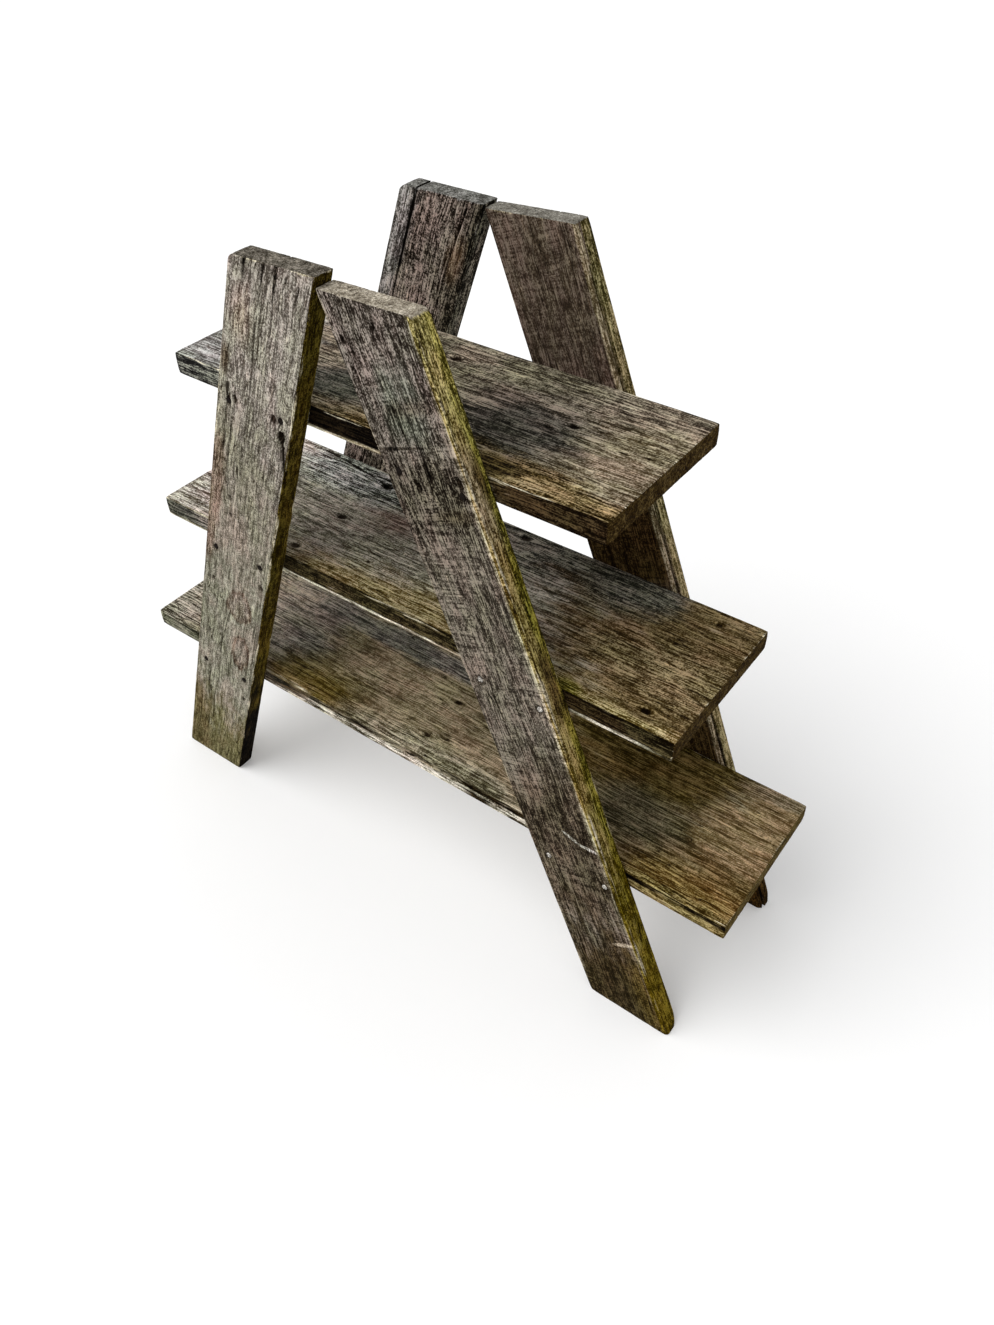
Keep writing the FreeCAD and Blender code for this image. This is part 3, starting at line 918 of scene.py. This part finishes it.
bottom_shelf = saw_shelf("bottom_shelf_board", "bottom_shelf")
shelf_low, shelf_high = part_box("bottom_shelf")
groove_margin = 6 * MM
groove_roof = shelf_high.z - groove_lip
plough = saw_block(
    "plough",
    Vector((shelf_low.x + groove_margin, shelf_low.y - knocked_off, groove_roof - groove_height)),
    Vector((shelf_high.x - groove_margin, shelf_low.y + groove_depth, groove_roof)),
)
cut_away(bottom_shelf.piece, plough)
knots = [(13, 0, 3.6), (16, -67, 3.6)]
bottom_shelf.season(knots)
weather(bottom_shelf, 121)
sink_knots(bottom_shelf, knots, 2.2)
bottom_shelf.finish_wear()
put_up(bottom_shelf, "bottom_shelf", weathered_wood(
    "bottom_shelf_wood", 131.0, golden_brown, saw_marks=0.25, torn=0.8, rubbed=-0.25,
    arris_tones=cream, end_tones=olive_and_painted_shade,
    stains=[
        stain(bottom_left, along=(-800, -345)),
        top_stain(lilac_shade, (-345, -200), blur=0.5),
        top_stain(blue_shade, (-265, 60), (28, 66), blur=0.4),
        top_stain(blue_shade, (-262, -190), (-85, -12), blur=0.5),
        top_stain(bottom_gold, (-250, -95), (-145, -44), blur=0.5),
        top_stain(crisp_front, (-90, 190), (-130, -72), blur=0.4),
        # painted shade: the back of the top face right of the front right leg is painted dark olive brown
        top_stain(olive_and_painted_shade, (130, 380), (-40, 200), blur=0.3),
        top_stain(bottom_right, (270, 700), (-220, 0), blur=0.35),
        top_stain(grey_olive, (225, 345), (-60, 12), blur=0.5),
        top_stain(tan, (352, 520), (-32, 78), blur=0.12),
        top_stain(front_rust, (320, 520), (-120, -62), blur=0.4),
        stain(grey_lip, along=(-900, -205), across=(-110, -94), through=(-15, 2), blur=0.3),
        stain(broken_lip, along=(-235, 335), across=(-112, -90), through=(-16, 2), blur=0.3),
        stain(black_stain_and_groove_shade, along=(100, 136), across=(-112, -90), through=(-13, -2), blur=0.6),
        stain(yellow_lip, along=(280, 900), across=(-112, -90), through=(-16, 14), blur=0.2),
        stain(black_stain_and_groove_shade, along=(-250, -150), across=(-110, -94), through=(-6, 9), blur=0.5),
        # painted shade: the inside of the groove is painted near black along its whole length
        stain(black_stain_and_groove_shade, along=(-9000, 9000), across=(-103, -75), through=(2.2, 9.5), blur=0.15),
        stain(grey_lip, along=(-1300, -210), across=(-125, -75), through=(-1, 10), blur=0.3),
    ],
))

# Wire nails: two through every crossing of a leg and a shelf, driven till their heads are just sunk.
# They are dull rusty steel, and on the front right leg's lower crossings bare steel, painted near white as a
# painted glint.


def nail_steel(name, rust, steel, brightness):
    """Steel with rust eaten into it."""
    material, tree, shader = new_material(name)
    place = node(tree, "TexCoord").outputs["Object"]
    pitting = node(tree, "TexNoise", {"Vector": place, "Scale": 900, "Detail": 4, "Roughness": 0.7})
    bare = spread(tree, pitting, 0.62 - 0.3 * brightness, 0.72 - 0.3 * brightness)
    colour = over(tree, bare, lit(*rust), lit(*steel))
    roughness = spread(tree, bare, 0, 1, 0.9, 0.35)
    metal = spread(tree, bare, 0, 1, 0.05, 0.2 + brightness)
    bump = node(tree, "Bump", {"Height": pitting, "Strength": 0.5, "Distance": 0.4 * MM})
    surface = {"Base Color": colour, "Normal": bump, "Roughness": roughness, "Specular IOR Level": 0.1}
    feed(tree, shader, {**surface, "Metallic": metal})
    return material


rusty_nail = nail_steel("rusty_nail_steel", (17, 11, 7), (52, 42, 34), 0.1)
# painted glint: bare steel on the front right leg's lower nail heads, painted near white
bare_nail_and_painted_glint = nail_steel("bright_nail_steel", (58, 50, 43), (246, 241, 231), 0.5)
bare_glinting_nails = ("nails_front_right_leg_middle_shelf", "nails_front_right_leg_bottom_shelf")
for name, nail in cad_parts.items():
    if name.startswith("nails_"):
        nail.data.materials.clear()
        nail.data.materials.append(bare_nail_and_painted_glint if name in bare_glinting_nails else rusty_nail)

# Floor and light: a plain pale studio floor that keeps the shadow, and looks as white as the surround.
# An even white surround and one soft key light from the front left light the stand.
bpy.ops.mesh.primitive_plane_add(size=30, location=(0, 0, 0))
floor = bpy.context.object
floor.name = "floor"
floor_paint, floor_tree, floor_shader = new_material("floor_paint")
floor_rays = node(floor_tree, "LightPath")
glow = spread(floor_tree, floor_rays.outputs["Is Camera Ray"], 0, 1, 0, 0.16)
pale_grey = (0.86, 0.86, 0.86, 1)
white = (1, 1, 1, 1)
feed(floor_tree, floor_shader, {"Base Color": pale_grey, "Roughness": 0.9})
feed(floor_tree, floor_shader, {"Emission Color": white, "Emission Strength": glow})
floor.data.materials.append(floor_paint)

world = bpy.data.worlds.new("studio")
bpy.context.scene.world = world
world.use_nodes = True
surround = world.node_tree
rays = node(surround, "LightPath")
seen = sums(surround, "MAXIMUM", rays.outputs["Is Camera Ray"], rays.outputs["Is Glossy Ray"])
seen = sums(surround, "MAXIMUM", seen, rays.outputs["Is Transmission Ray"])
strength = spread(surround, seen, 0, 1, 0.6, 1.0)
feed(surround, surround.nodes["Background"], {"Color": white, "Strength": strength})

bpy.ops.object.light_add(type="SUN", location=(-1.0, -1.2, 1.8))
key = bpy.context.object
key_direction = Vector((0.42, 0.50, -0.66))
key.rotation_euler = key_direction.to_track_quat("-Z", "Y").to_euler()
key.data.energy = 2.1
key.data.angle = math.radians(60)

# Camera: the photograph's own place, from the front right and above.
# Its place, turn and lens are those that bring the boards' corners to where the photograph shows them.
camera_place = Vector((0.63117, -0.73610, 1.18498))
camera_azimuth = math.radians(37.077)
camera_elevation = math.radians(42.848)
camera_roll = math.radians(-1.063)
bpy.ops.object.camera_add()
camera = bpy.context.object
camera.matrix_world = (
    Matrix.Translation(camera_place)
    @ Matrix.Rotation(camera_azimuth, 4, "Z")
    @ Matrix.Rotation(math.pi / 2 - camera_elevation, 4, "X")
    @ Matrix.Rotation(camera_roll, 4, "Z")
)
camera.data.lens = 28.958
camera.data.sensor_width = 36
bpy.context.scene.camera = camera
bpy.context.scene.view_settings.view_transform = "Standard"
